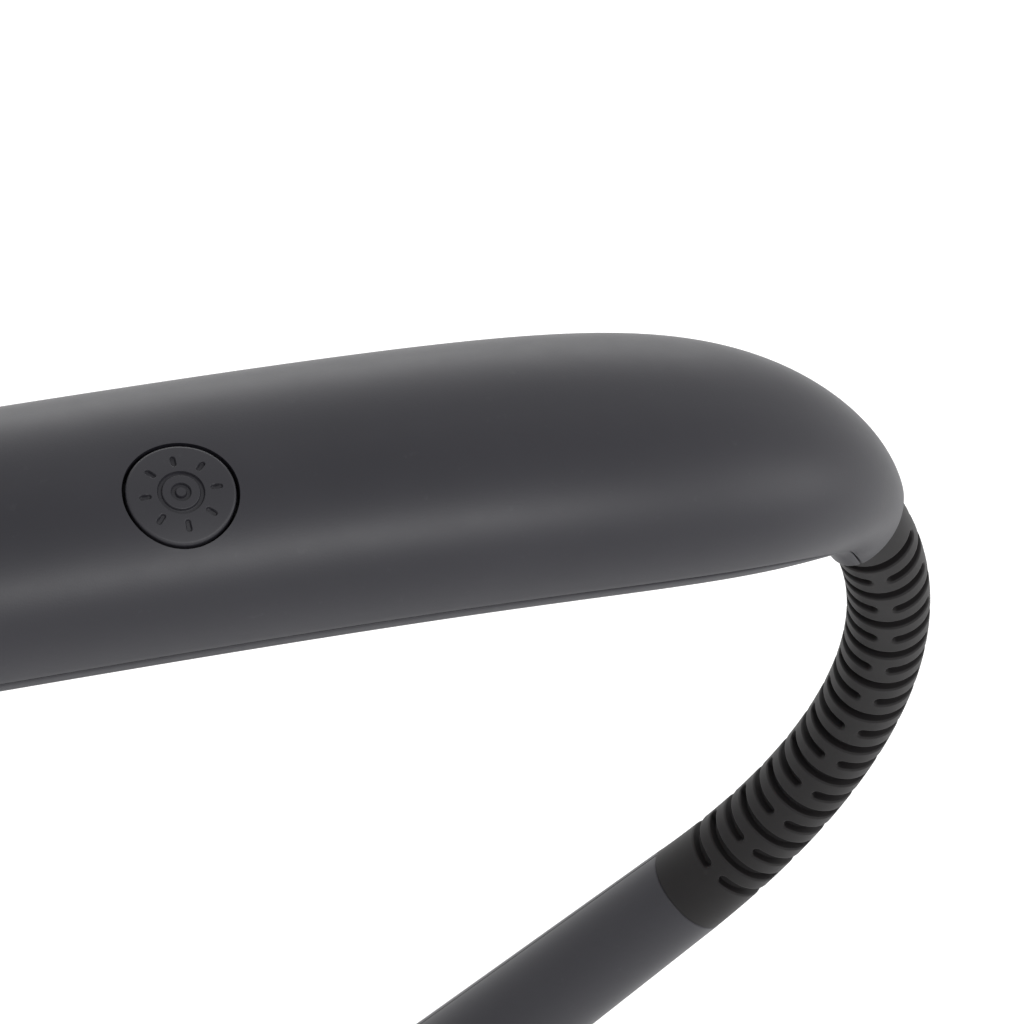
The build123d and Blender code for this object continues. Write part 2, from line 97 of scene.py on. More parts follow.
# ---------------------------------------------------------------- dimensions of the looks alone
LIP = 0.16                # rounding of the shells' edges
GROOVE_DEPTH = 1.05       # of the sleeve's slots, which have a closed floor here
GROOVE_WALL = 0.7         # share of that depth where the straight side of a slot ends
GROOVE_CROWN = 0.12       # how much its floor rises towards the sides
SLOT_LIP = 0.24           # rounding of the sleeve's slots
ICON_DEPTH, ICON_EDGE = 0.32, 0.06
RAY_COUNT, RAY_FROM, RAY_TO, RAY_HALF = 8, 3.25, 3.95, 0.24
RING_MIDDLE, RING_HALF = 2.12, 0.22
HUB_MIDDLE, HUB_HALF = 0.76, 0.22
PAD_CORNER, RIB_COUNT, RIB_PITCH, RIB_GAP, RIB_DEPTH = 3.0, 6, 2.0, 0.8, 0.6


# ================================================================ centre line
def slope(s):
    """Downward angle of the centre line at s, in degrees."""
    s = np.asarray(s, float)
    inside = HEAD_TILT + NOSE_BEND / (1 + (s / NOSE_REACH) ** 2)
    neck = HEAD_TILT + NOSE_BEND + NECK_RATE * s - NECK_EASE * s * s
    return np.where(s < 0, inside, np.where(s < NECK_LENGTH, neck, ARM_SLOPE))


def centre_line():
    """Samples of s, X and Z along the whole lamp."""
    step = 0.1
    s = np.arange(-1600, 1601) * step
    a = np.radians(slope((s[1:] + s[:-1]) / 2))
    x = np.concatenate([[0], np.cumsum(np.cos(a) * step)])
    z = np.concatenate([[0], -np.cumsum(np.sin(a) * step)])
    end = NECK_LENGTH + ARM_LENGTH
    return s, x + ARM_FOOT[0] - np.interp(end, s, x), z + ARM_FOOT[1] - np.interp(end, s, z)


LINE_S, LINE_X, LINE_Z = centre_line()


def place(s, across, outer):
    """Points beside the centre line at s: across along +Y, and out from the inner side of its bend."""
    a = np.radians(slope(s))
    x = np.interp(s, LINE_S, LINE_X) + outer * np.sin(a)
    z = np.interp(s, LINE_S, LINE_Z) + outer * np.cos(a)
    return np.stack(np.broadcast_arrays(x, across, z), -1)


def nearest(points):
    """s, across and outer of points, the reverse of place()."""
    s = np.full(points.shape[:-1], -BUTTON_AT)
    for _ in range(8):
        a = np.radians(slope(s))
        dx = points[..., 0] - np.interp(s, LINE_S, LINE_X)
        dz = points[..., 2] - np.interp(s, LINE_S, LINE_Z)
        s = s + dx * np.cos(a) - dz * np.sin(a)
    return s, points[..., 1], dx * np.sin(a) + dz * np.cos(a)


def axes(s):
    """Origin, across, outer and along directions of the centre line at s."""
    a = math.radians(float(slope(s)))
    along = np.array([math.cos(a), 0, -math.sin(a)])
    return place(s, 0.0, 0.0), np.array([0, 1.0, 0]), np.array([math.sin(a), 0, math.cos(a)]), along


# ================================================================ mesh helpers
def raw_mesh(name, points, faces):
    """A mesh from points in millimetres, as they are."""
    mesh = bpy.data.meshes.new(name)
    mesh.from_pydata([tuple(p) for p in np.asarray(points, float) * MM], [], [tuple(f) for f in faces])
    return mesh


def smooth(mesh, angle):
    """Smooth shading, but for edges sharper than that angle."""
    mesh.shade_smooth()
    mesh.set_sharp_from_angle(angle=math.radians(angle))


def add_object(name, points, faces, material, body, slot=None, replaces=(), angle=40.0):
    """A smooth-shaded piece of that material, riding on that CAD body if one is named."""
    mesh = raw_mesh(name, points, faces)
    work = bmesh.new()
    work.from_mesh(mesh)
    bmesh.ops.remove_doubles(work, verts=work.verts, dist=2e-7)
    bmesh.ops.dissolve_degenerate(work, edges=work.edges, dist=1e-7)
    bmesh.ops.recalc_face_normals(work, faces=work.faces)
    work.to_mesh(mesh)
    work.free()
    smooth(mesh, angle)
    piece = bpy.data.objects.new(name, mesh)
    bpy.context.scene.collection.objects.link(piece)
    mesh.materials.append(material)
    if body:
        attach(piece, body)
    if replaces:
        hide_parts(*replaces)
    return piece


def grid_faces(rows, columns, start=0, closed=False, flip=False):
    """Quads of a grid whose points are numbered row by row from start."""
    faces = []
    wide = columns if closed else columns - 1
    for r in range(rows - 1):
        for c in range(wide):
            d = (c + 1) % columns
            a = start + r * columns
            quad = (a + c, a + d, a + columns + d, a + columns + c)
            faces.append(quad[::-1] if flip else quad)
    return faces


def wall_mesh(outer, inner, closed=False):
    """Points and faces of a closed wall between two grids of the same size."""
    rows, columns = outer.shape[:2]
    points = np.concatenate([outer.reshape(-1, 3), inner.reshape(-1, 3)])
    half = rows * columns
    faces = grid_faces(rows, columns, 0, closed) + grid_faces(rows, columns, half, closed, True)
    wide = columns if closed else columns - 1
    for c in range(wide):
        d = (c + 1) % columns
        last = (rows - 1) * columns
        faces.append((c, half + c, half + d, d))
        faces.append((last + c, last + d, half + last + d, half + last + c))
    if not closed:
        for r in range(rows - 1):
            a, b = r * columns, (r + 1) * columns
            faces.append((a, b, half + b, half + a))
            faces.append((a + columns - 1, half + a + columns - 1, half + b + columns - 1, b + columns - 1))
    return points, faces


def prism(origin, x_dir, y_dir, z_dir, outline, low, high):
    """Points and faces of an outline extruded along z_dir."""
    ring = [origin + x * x_dir + y * y_dir for x, y in outline]
    count = len(ring)
    points = [p + low * z_dir for p in ring] + [p + high * z_dir for p in ring]
    faces = [tuple(range(count))[::-1], tuple(range(count, 2 * count))]
    faces += [(k, (k + 1) % count, count + (k + 1) % count, count + k) for k in range(count)]
    return points, faces


def circle(radius, count=96):
    return [(radius * math.cos(2 * math.pi * k / count), radius * math.sin(2 * math.pi * k / count))
            for k in range(count)]


def rounded_rectangle(length, width, radius, per_corner=10):
    """Outline of a rectangle centred on the origin, with round corners."""
    outline = []
    corners = ((1, 1, 0), (-1, 1, 90), (-1, -1, 180), (1, -1, 270))
    for sx, sy, first in corners:
        cx, cy = sx * (length / 2 - radius), sy * (width / 2 - radius)
        for k in range(per_corner + 1):
            a = math.radians(first + 90 * k / per_corner)
            outline.append((cx + radius * math.cos(a), cy + radius * math.sin(a)))
    return outline


def carve(piece, cutters):
    """Cuts closed prisms, each given as points and faces in millimetres, out of a piece."""
    for points, faces in cutters:
        mesh = raw_mesh("cutter", points, faces)
        work = bmesh.new()
        work.from_mesh(mesh)
        bmesh.ops.recalc_face_normals(work, faces=work.faces)
        work.to_mesh(mesh)
        work.free()
        tool = bpy.data.objects.new("cutter", mesh)
        bpy.context.scene.collection.objects.link(tool)
        step = piece.modifiers.new("cut", "BOOLEAN")
        step.object = tool
        step.operation = "DIFFERENCE"
        step.solver = "EXACT"
        evaluated = piece.evaluated_get(bpy.context.evaluated_depsgraph_get())
        carved = bpy.data.meshes.new_from_object(evaluated)
        piece.modifiers.clear()
        piece.data = carved
        bpy.data.objects.remove(tool)
    smooth(piece.data, 40.0)


def soften(piece, width, segments=2, angle=35.0, weld=0.0):
    """Rounds a piece's sharp edges, keeping its flats flat."""
    if weld:
        join = piece.modifiers.new("weld", "WELD")
        join.merge_threshold = weld * MM
    bevel = piece.modifiers.new("round", "BEVEL")
    bevel.width = width * MM
    bevel.segments = segments
    bevel.limit_method = "ANGLE"
    bevel.angle_limit = math.radians(angle)
    bevel.harden_normals = True
    bevel.use_clamp_overlap = True


# ================================================================ materials
def socket(node, name, value):
    node.inputs[name].default_value = value


def new_material(name):
    material = bpy.data.materials.new(name)
    material.use_nodes = True
    tree = material.node_tree
    shader = tree.nodes["Principled BSDF"]
    return material, tree, shader


def noise(tree, coords, scale, detail=3.0, roughness=0.55):
    node = tree.nodes.new("ShaderNodeTexNoise")
    socket(node, "Scale", scale)
    socket(node, "Detail", detail)
    socket(node, "Roughness", roughness)
    tree.links.new(coords, node.inputs["Vector"])
    return node.outputs["Fac"]


def remap(tree, value, low, high, to_low, to_high):
    node = tree.nodes.new("ShaderNodeMapRange")
    for name, amount in (("From Min", low), ("From Max", high), ("To Min", to_low), ("To Max", to_high)):
        socket(node, name, amount)
    tree.links.new(value, node.inputs["Value"])
    return node.outputs["Result"]


def blend_colours(tree, amount, first, second):
    node = tree.nodes.new("ShaderNodeMix")
    node.data_type = "RGBA"
    tree.links.new(amount, node.inputs["Factor"])
    for place_name, colour in (("A", first), ("B", second)):
        target = [i for i in node.inputs if i.name == place_name and i.type == "RGBA"][0]
        if isinstance(colour, tuple):
            target.default_value = (*colour, 1.0)
        else:
            tree.links.new(colour, target)
    return [o for o in node.outputs if o.type == "RGBA"][0]


def object_coords(tree):
    return tree.nodes.new("ShaderNodeTexCoord").outputs["Object"]


def bump(tree, height, distance, strength=1.0, under=None):
    node = tree.nodes.new("ShaderNodeBump")
    socket(node, "Distance", distance)
    socket(node, "Strength", strength)
    tree.links.new(height, node.inputs["Height"])
    if under is not None:
        tree.links.new(under, node.inputs["Normal"])
    return node.outputs["Normal"]


def moulded(name, dark, light, worn, roughness, grain_size, grain_depth, specular=0.5):
    """Moulded plastic or rubber: fine grain, cloudy tone, rubbed specks, slightly uneven gloss."""
    material, tree, shader = new_material(name)
    coords = object_coords(tree)
    cloud = noise(tree, coords, 55.0, 4.0)
    smudge = noise(tree, coords, 240.0, 5.0, 0.65)
    grain = noise(tree, coords, 1 / (grain_size * MM), 2.0, 0.5)
    tone = blend_colours(tree, remap(tree, cloud, 0.3, 0.7, 0, 1), dark, light)
    rubbed = remap(tree, noise(tree, coords, 900.0, 3.0), 0.66, 0.8, 0, 0.25)
    tree.links.new(blend_colours(tree, rubbed, tone, worn), shader.inputs["Base Color"])
    gloss = remap(tree, smudge, 0.3, 0.7, roughness - 0.012, roughness + 0.015)
    tree.links.new(gloss, shader.inputs["Roughness"])
    socket(shader, "Specular IOR Level", specular)
    wave = bump(tree, cloud, 0.004 * MM, 0.5)
    tree.links.new(bump(tree, grain, grain_depth * MM, 1.0, wave), shader.inputs["Normal"])
    return material


def metal(name, dark, light, roughness, scratch_scale):
    """Turned or drawn metal with fine scratches and slight tarnish."""
    material, tree, shader = new_material(name)
    coords = object_coords(tree)
    stretch = tree.nodes.new("ShaderNodeMapping")
    socket(stretch, "Scale", (1.0, 14.0, 1.0))
    tree.links.new(coords, stretch.inputs["Vector"])
    lines = noise(tree, stretch.outputs["Vector"], scratch_scale, 6.0, 0.7)
    tarnish = noise(tree, coords, 220.0, 4.0)
    tone = blend_colours(tree, remap(tree, tarnish, 0.35, 0.7, 0, 1), light, dark)
    tree.links.new(tone, shader.inputs["Base Color"])
    socket(shader, "Metallic", 1.0)
    tree.links.new(remap(tree, lines, 0.3, 0.7, roughness - 0.08, roughness + 0.12),
                   shader.inputs["Roughness"])
    tree.links.new(bump(tree, lines, 0.006 * MM, 0.7), shader.inputs["Normal"])
    return material


def opal(name, colour, roughness):
    """Milky plastic that lets light through."""
    material, tree, shader = new_material(name)
    coords = object_coords(tree)
    cloud = noise(tree, coords, 120.0, 3.0)
    darker = tuple(0.93 * c for c in colour)
    tree.links.new(blend_colours(tree, cloud, colour, darker), shader.inputs["Base Color"])
    tree.links.new(remap(tree, cloud, 0.3, 0.7, roughness - 0.06, roughness + 0.06),
                   shader.inputs["Roughness"])
    socket(shader, "Subsurface Weight", 0.35)
    socket(shader, "Subsurface Scale", 0.0015)
    fine = noise(tree, coords, 4200.0, 2.0)
    tree.links.new(bump(tree, fine, 0.004 * MM, 0.5), shader.inputs["Normal"])
    return material


def board_green(name):
    """Solder mask with faint copper tracks under it."""
    material, tree, shader = new_material(name)
    coords = object_coords(tree)
    tracks = tree.nodes.new("ShaderNodeTexBrick")
    socket(tracks, "Scale", 420.0)
    socket(tracks, "Mortar Size", 0.012)
    tree.links.new(coords, tracks.inputs["Vector"])
    lines = tracks.outputs["Fac"]
    tone = blend_colours(tree, lines, (0.01, 0.10, 0.045), (0.03, 0.20, 0.09))
    tree.links.new(tone, shader.inputs["Base Color"])
    rough = noise(tree, coords, 900.0, 3.0)
    tree.links.new(remap(tree, rough, 0.3, 0.7, 0.28, 0.4), shader.inputs["Roughness"])
    tree.links.new(bump(tree, lines, 0.03 * MM, 0.6), shader.inputs["Normal"])
    return material


def make_materials():
    """One material for each slot of the record."""
    return {
        "charcoal_plastic": moulded("charcoal_plastic", (0.0140, 0.0136, 0.0190), (0.0175, 0.0168, 0.0228),
                                    (0.040, 0.040, 0.047), 0.47, 0.20, 0.007),
        "button_plastic": moulded("button_plastic", (0.0155, 0.0150, 0.0200), (0.0190, 0.0184, 0.0235),
                                  (0.045, 0.045, 0.05), 0.52, 0.16, 0.005),
        "black_rubber": moulded("black_rubber", (0.0070, 0.0060, 0.0064), (0.0092, 0.0080, 0.0086),
                                (0.026, 0.024, 0.025), 0.56, 0.13, 0.006, 0.26),
        "grip_rubber": moulded("grip_rubber", (0.010, 0.010, 0.011), (0.014, 0.014, 0.015),
                               (0.03, 0.03, 0.03), 0.7, 0.10, 0.012, 0.3),
        "black_resin": moulded("black_resin", (0.008, 0.008, 0.009), (0.012, 0.012, 0.013),
                               (0.03, 0.03, 0.03), 0.4, 0.08, 0.004),
        "core_metal": metal("core_metal", (0.03, 0.03, 0.032), (0.05, 0.05, 0.052), 0.5, 500.0),
        "steel": metal("steel", (0.42, 0.42, 0.43), (0.6, 0.6, 0.61), 0.3, 700.0),
        "brass": metal("brass", (0.45, 0.31, 0.12), (0.66, 0.48, 0.2), 0.32, 600.0),
        "cell_foil": metal("cell_foil", (0.35, 0.36, 0.38), (0.55, 0.56, 0.58), 0.38, 300.0),
        "opal_diffuser": opal("opal_diffuser", (0.83, 0.82, 0.79), 0.42),
        "light_pipe": opal("light_pipe", (0.72, 0.75, 0.76), 0.25),
        "led_resin": opal("led_resin", (0.85, 0.72, 0.25), 0.3),
        "circuit_board": board_green("circuit_board"),
    }


MATERIALS = make_materials()


# ================================================================ head shells
def eased(start, end, u, reach, power):
    return start + (end - start) * (1 - np.exp(-((np.maximum(u, 0) / reach) ** power)))


def head_slice(u, inset):
    """Half width, height, depth and the two powers of the housing's slice at u."""
    length = HEAD_LENGTH - inset
    past = np.clip((u - ROUND_FROM) / (length - ROUND_FROM), 0, 1)
    close = np.sqrt(1 - past * past)
    width = (eased(MOUTH_RADIUS, HALF_WIDTH, u, 16, 1.5) - inset) * close
    height = (eased(MOUTH_RADIUS, DOME, u, 19, 1.2) - inset) * close
    depth = (eased(MOUTH_RADIUS, BELLY, u, 8, 1.0) - inset) * close
    top_power = eased(MOUTH_POWER, TOP_POWER, u, 16, 1.5)
    belly_power = eased(MOUTH_POWER, BELLY_POWER, u, 16, 1.5)
    return width, height, depth, top_power, belly_power


TUBE_RADIUS, TUBE_DEPTH = SLEEVE_RADIUS + 0.06, 9.1


def inner_slice(u, inset):
    """The inside of the housing: the sleeve's socket near the mouth, and a thin wall beyond it."""
    parts = head_slice(u, inset)
    tube = (TUBE_RADIUS, TUBE_RADIUS, TUBE_RADIUS, MOUTH_POWER, MOUTH_POWER)
    return [np.where(u < TUBE_DEPTH, t, p) for t, p in zip(tube, parts)]


def slice_point(parts, t):
    """Across and up at angle t round a slice."""
    width, height, depth, top_power, belly_power = parts
    above = np.sin(t) >= 0
    power = np.where(above, top_power, belly_power)
    reach = np.where(above, height, depth)
    across = np.sign(np.cos(t)) * np.abs(np.cos(t)) ** (2 / power) * width
    up = np.sign(np.sin(t)) * np.abs(np.sin(t)) ** (2 / power) * reach
    return across, up


def slice_angle(parts, up):
    """Angle on the slice's +Y side where it reaches that height."""
    _, height, depth, top_power, belly_power = parts
    reach = np.where(up >= 0, height, depth) + 1e-9
    power = np.where(up >= 0, top_power, belly_power)
    return np.sign(up) * np.arcsin(np.clip(np.abs(up) / reach, 0, 1) ** (power / 2))


def seam_height(u):
    return -2.0 * np.exp(-((np.maximum(u, 0) / 12) ** 2))


def arc_angles(parts, edge, share, top):
    """Angles spread over the part of a slice that is above (or below) a height."""
    first = slice_angle(parts, edge)
    if top:
        return first + share * (math.pi - 2 * first)
    return math.pi - first + share * (math.pi + 2 * first)


def mouth_shift(points):
    """How far points are beyond the plane that cuts the head's mouth."""
    a = math.radians(MOUTH_CUT_SLOPE)
    mouth = place(0.0, 0.0, 0.0)
    return (points[..., 0] - mouth[0]) * math.cos(a) - (points[..., 2] - mouth[2]) * math.sin(a)


def head_points(u, share, inset, drop, slicer, top):
    """Points of a shell's skin, inset from the outside; drop moves its edge away from the seam."""
    parts = slicer(u, inset)
    sign = 1 if top else -1
    size = np.minimum(1.0, parts[0] / 3.0)
    edge = seam_height(u) * size + sign * (SEAM_GAP / 2 + drop) * size
    t = arc_angles(parts, edge, share, top)
    across, up = slice_point(parts, t)
    return place(-u, across, up)


def mouth_u(share, inset, drop, slicer, top, shift):
    """The u where each line of the skin meets a plane shift inside the mouth's cut."""
    low, high = np.full_like(share, -9.0), np.full_like(share, 9.0)
    for _ in range(40):
        middle = (low + high) / 2
        beyond = mouth_shift(head_points(middle, share, inset, drop, slicer, top)) > -shift
        low, high = np.where(beyond, middle, low), np.where(beyond, high, middle)
    return high


def head_stations():
    """u of the rows of a shell's grid, close together where the form turns."""
    nose = np.linspace(0.25, 30, 44)
    middle = np.linspace(31.5, ROUND_FROM, 52)
    tail = ROUND_FROM + (HEAD_LENGTH - ROUND_FROM) * np.sin(np.radians(np.linspace(3, 90, 34)))
    return np.concatenate([nose, middle, tail])


def head_shell(top):
    """Outer and inner grids of one half of the housing, with rounded lips at seam and mouth."""
    columns, lips = 88, 4
    share = np.linspace(0, 1, columns)
    stations = head_stations()
    rolls = np.radians(np.linspace(90, 0, lips))
    outer, inner = [], []

    def row(u_of, inset, slicer, lipped):
        """One row of the grid: rolled edge, skin, rolled edge."""
        if not lipped:
            wide = np.linspace(0, 1, columns + 2 * (lips - 1))
            return head_points(u_of(wide, inset, 0.0), wide, inset, 0.0, slicer, top)
        start, end = [], []
        for roll in rolls[:-1]:
            more = LIP * (1 - math.cos(roll))
            drop = LIP * (1 - math.sin(roll))
            ends = np.array([0.0, 1.0])
            pair = head_points(u_of(ends, inset + more, drop), ends, inset + more, drop, slicer, top)
            start.append(pair[0])
            end.append(pair[1])
        skin = head_points(u_of(share, inset, LIP), share, inset, LIP, slicer, top)
        return np.concatenate([np.array(start), skin, np.array(end)[::-1]])

    for roll in rolls:
        more, shift = LIP * (1 - math.cos(roll)), LIP * (1 - math.sin(roll))

        def at_mouth(s, inset, drop, shift=shift):
            return mouth_u(s, inset, drop, head_slice, top, shift)

        def at_tube(s, inset, drop, shift=shift):
            return mouth_u(s, inset, drop, inner_slice, top, shift)
        outer.append(row(at_mouth, more, head_slice, True))
        inner.append(row(at_tube, WALL, inner_slice, False))
    for u in stations:
        fade = max(0.0, 1 - u / 16)

        def along(s, inset, drop, u=u, fade=fade):
            return u + fade * mouth_u(s, inset, drop, head_slice, top, LIP)

        def along_inside(s, inset, drop, u=u, fade=fade):
            inside = u * (HEAD_LENGTH - WALL) / HEAD_LENGTH if u > ROUND_FROM else u
            return inside + fade * mouth_u(s, inset, drop, inner_slice, top, LIP)
        outer.append(row(along, 0.0, head_slice, True))
        inner.append(row(along_inside, WALL, inner_slice, False))
    return wall_mesh(np.array(outer), np.array(inner))


def button_axes():
    """Origin, x towards the mouth, y across, and z out of the shell, where the button sits."""
    origin, across, outer, along = axes(-BUTTON_AT)
    side = abs(BUTTON_SIDE) / HALF_WIDTH
    height = DOME * (1 - side ** TOP_POWER) ** (1 / TOP_POWER)
    lean = math.atan2(-BUTTON_SIDE * BUTTON_LEAN, HALF_WIDTH)
    z_dir = outer * math.cos(lean) - across * math.sin(lean)
    return origin + BUTTON_SIDE * across + height * outer, along, np.cross(z_dir, along), z_dir


def head_axes(u, up=0.0, side=0.0):
    """Origin, x towards the mouth, y across and z to the outer side, inside the head."""
    origin, across, outer, along = axes(-u)
    return origin + up * outer + side * across, along, np.cross(outer, along), outer


def build_head_shells():
    """Both halves of the housing, with the openings for what shows through them."""
    top = add_object("head_top", *head_shell(True), MATERIALS["charcoal_plastic"], "head",
                     "charcoal_plastic", ["head_top_shell"])
    length, width, height = PORT_OPENING
    opening = rounded_rectangle(length, width, 0.6, 4)
    holes = [
        prism(*button_axes(), circle(BUTTON_RADIUS + BUTTON_GAP, 144), -6, 6),
        prism(*head_axes(PIPE_AT), circle(PIPE_HOLE_RADIUS, 48), 5, 20),
        prism(*head_axes(PORT_AT, PORT_RISE), opening, -height / 2, height / 2),
    ]
    carve(top, holes)
    belly = add_object("head_belly", *head_shell(False), MATERIALS["charcoal_plastic"], "head",
                       "charcoal_plastic", ["head_bottom_shell"])
    holes = [prism(*head_axes(WINDOW_AT), rounded_rectangle(*WINDOW, WINDOW_CORNER), -9, 3)]
    for u, side in SCREW_SPOTS:
        holes.append(prism(*head_axes(u, 0.0, side), circle(SCREW_HOLE_RADIUS, 64), -8, -2.4))
    carve(belly, holes)


# ================================================================ button
def dip(distance):
    """Depth of an engraving where distance is how far outside its outline a point is."""
    t = np.clip(0.5 - distance / (2 * ICON_EDGE), 0, 1)
    return t * t * (3 - 2 * t)


def icon_depth(x, y):
    """A plain sun: rays, a ring and a dimple, as a share of the full depth."""
    radius, angle = np.hypot(x, y), np.arctan2(y, x)
    step = 2 * math.pi / RAY_COUNT
    off = (angle + step / 2) % step - step / 2
    along, beside = radius * np.cos(off), radius * np.sin(off)
    ray = np.hypot(np.maximum(np.maximum(RAY_FROM - along, along - RAY_TO), 0), beside) - RAY_HALF
    ring = np.abs(radius - RING_MIDDLE) - RING_HALF
    hub = np.abs(radius - HUB_MIDDLE) - HUB_HALF
    return np.maximum(np.maximum(dip(ray), dip(ring)), dip(hub))


def surface_height(x, y, rise):
    """Height over the button's plane of the head's skin, moved out by rise."""
    origin, x_dir, y_dir, z_dir = button_axes()
    base = origin + x[..., None] * x_dir + y[..., None] * y_dir
    low, high = np.full(x.shape, -4.0), np.full(x.shape, 4.0)
    for _ in range(36):
        middle = (low + high) / 2
        s, across, up = nearest(base + middle[..., None] * z_dir)
        width, height, _, power, _ = head_slice(-s, -rise)
        full = (np.abs(across) / width) ** power + (np.abs(up) / height) ** power
        low, high = np.where(full < 1, middle, low), np.where(full < 1, high, middle)
    return low


def build_button():
    """The cap, its engraved icon, the flange that keeps it in and its stem, as one turned surface."""
    origin, x_dir, y_dir, z_dir = button_axes()
    turns, fine = 384, 139
    roll = np.radians(np.linspace(12, 90, 8))
    flat = BUTTON_RADIUS - BUTTON_EDGE
    radii = np.concatenate([np.linspace(0.0, flat, fine + 1)[1:], flat + BUTTON_EDGE * np.sin(roll)])
    sink = np.concatenate([np.zeros(fine), BUTTON_EDGE * (1 - np.cos(roll))])
    turn = np.linspace(0, 2 * math.pi, turns, endpoint=False)
    x = radii[:, None] * np.cos(turn)
    y = radii[:, None] * np.sin(turn)
    z = surface_height(x, y, BUTTON_RISE) - sink[:, None] - ICON_DEPTH * icon_depth(x, y)
    rows = [np.stack([x, y, z], -1)]
    unit = np.stack([np.cos(turn), np.sin(turn), np.zeros(turns)], -1)
    up = np.array([0, 0, 1.0])
    rows.append(BUTTON_RADIUS * unit[None] + (z[-1][:, None] - 1.2) / 2 * up)
    flange = BUTTON_RADIUS + BUTTON_FLANGE
    profile = ((BUTTON_RADIUS, BUTTON_FLANGE_TOP), (flange, BUTTON_FLANGE_TOP), (flange, BUTTON_FLANGE_FOOT),
               (BUTTON_STEM_RADIUS, BUTTON_FLANGE_FOOT), (BUTTON_STEM_RADIUS, BUTTON_FOOT))
    for radius, level in profile:
        rows.append(radius * unit[None] + level * up)
    cap = np.concatenate(rows)
    count = len(cap)
    centre_height = float(surface_height(np.zeros(1), np.zeros(1), BUTTON_RISE)[0])
    local = np.concatenate([cap.reshape(-1, 3), [[0, 0, centre_height], [0, 0, BUTTON_FOOT]]])
    points = origin + local[:, :1] * x_dir + local[:, 1:2] * y_dir + local[:, 2:] * z_dir
    faces = grid_faces(count, turns, 0, True)
    centre, foot = count * turns, count * turns + 1
    last = (count - 1) * turns
    for c in range(turns):
        d = (c + 1) % turns
        faces.append((centre, c, d))
        faces.append((foot, last + d, last + c))
    add_object("button_cap", points, faces, MATERIALS["button_plastic"], "button", "button_plastic",
               ["brightness_button"], angle=50)


# ================================================================ neck
def sleeve_radius(s):
    rise = np.clip(s / NECK_LENGTH, 0, 1) ** SLEEVE_FLARE
    return SLEEVE_RADIUS + (SLEEVE_FOOT_RADIUS - SLEEVE_RADIUS) * rise


def pattern_turn(s):
    return TWIST_HEAD + (TWIST_ARM - TWIST_HEAD) * s / NECK_LENGTH


def slot_outline(end_at, radius, border, reach):
    """Loop round a slot: where its rim is, the rim's normal, and where each ray meets the cell's border."""
    straight = np.linspace(-end_at, end_at, 46)
    corner = math.atan2(border, reach - end_at)
    quarter = np.concatenate([np.linspace(math.pi / 2, corner, 5)[1:], np.linspace(corner, 0, 5)[1:]])
    half_turn = np.concatenate([quarter, -quarter[::-1][1:], [-math.pi / 2]])
    rim, normal, edge = [], [], []
    for x in straight:
        rim.append((x, radius))
        normal.append((0.0, 1.0))
        edge.append((x, border))
    for a in half_turn[:-1]:
        c, s = math.cos(a), math.sin(a)
        stretch = min(border / max(abs(s), 1e-9), (reach - end_at) / max(c, 1e-9))
        rim.append((end_at + radius * c, radius * s))
        normal.append((c, s))
        edge.append((end_at + stretch * c, stretch * s))
    other = [[(-x, -h) for x, h in part] for part in (rim, normal, edge)]
    return [np.array(part + turned) for part, turned in zip((rim, normal, edge), other)]


def band_mesh(row):
    """One band of the sleeve: two cells, each with a round-ended groove in it, closed all round."""
    s = FIRST_SLOT + SLOT_PITCH * row
    radius = float(sleeve_radius(s))
    turn = math.radians(pattern_turn(s) + (90 if row % 2 == 0 else 0))
    border, reach = SLOT_PITCH / 2, math.pi * radius / 2
    end_at = reach - BRIDGE_WIDTH / 2 - SLOT / 2
    rim, normal, edge = slot_outline(end_at, SLOT / 2, border, reach)
    layers = []
    for share in (1.0, 0.6, 0.3, 0.1, 0.0):
        start = rim + SLOT_LIP * normal
        layers.append((start + share * (edge - start), 0.0))
    for roll in np.radians((22, 45, 68, 90)):
        layers.append((rim + SLOT_LIP * (1 - math.sin(roll)) * normal, SLOT_LIP * (1 - math.cos(roll))))
    floor = np.stack([np.clip(rim[:, 0], -end_at, end_at), np.zeros(len(rim))], -1)
    layers.append((rim, GROOVE_WALL * GROOVE_DEPTH))
    for share in (0.12, 0.5, 1.0):
        layers.append((rim + share * (floor - rim), GROOVE_DEPTH - GROOVE_CROWN * (1 - share) ** 4))
    outside = len(layers)
    for share in (1.0, 0.5, 0.0):
        layers.append((floor + share * (edge - floor), None))
    points, faces = [], []
    count = len(rim)
    for side in (0, 1):
        start = len(points) * count
        for flat, depth in layers:
            angle = turn + math.pi / 2 + side * math.pi + flat[:, 0] / radius
            local = SLEEVE_BORE if depth is None else sleeve_radius(s + flat[:, 1]) - depth
            points.append(place(s + flat[:, 1], local * np.cos(angle), local * np.sin(angle)))
        inner = start + outside * count
        faces += grid_faces(outside, count, start, True)
        faces += grid_faces(len(layers) - outside, count, inner, True)
        for c in range(count):
            d = (c + 1) % count
            on_end = abs(abs(edge[c][1]) - border) < 1e-6 and abs(abs(edge[d][1]) - border) < 1e-6
            if on_end and edge[c][1] * edge[d][1] > 0:
                faces.append((start + c, start + d, inner + d, inner + c))
    return np.concatenate(points), faces


def joint_near(point):
    """The hinge whose pivot is within 0.9 mm of a point on the centre line, if there is one."""
    for joint in frame["joints"]:
        if joint["type"] == "hinge":
            pivot = Vector(joint["pos_m"]) / MM
            if (pivot - Vector(point)).length < 0.9:
                return joint
    return None


def tube_grid(stations, radius_of, turns=144):
    """Rings of points round the centre line."""
    angle = np.linspace(0, 2 * math.pi, turns, endpoint=False)
    rows = []
    for s in stations:
        r = radius_of(s)
        rows.append(place(s, r * np.cos(angle), r * np.sin(angle)))
    return np.array(rows)


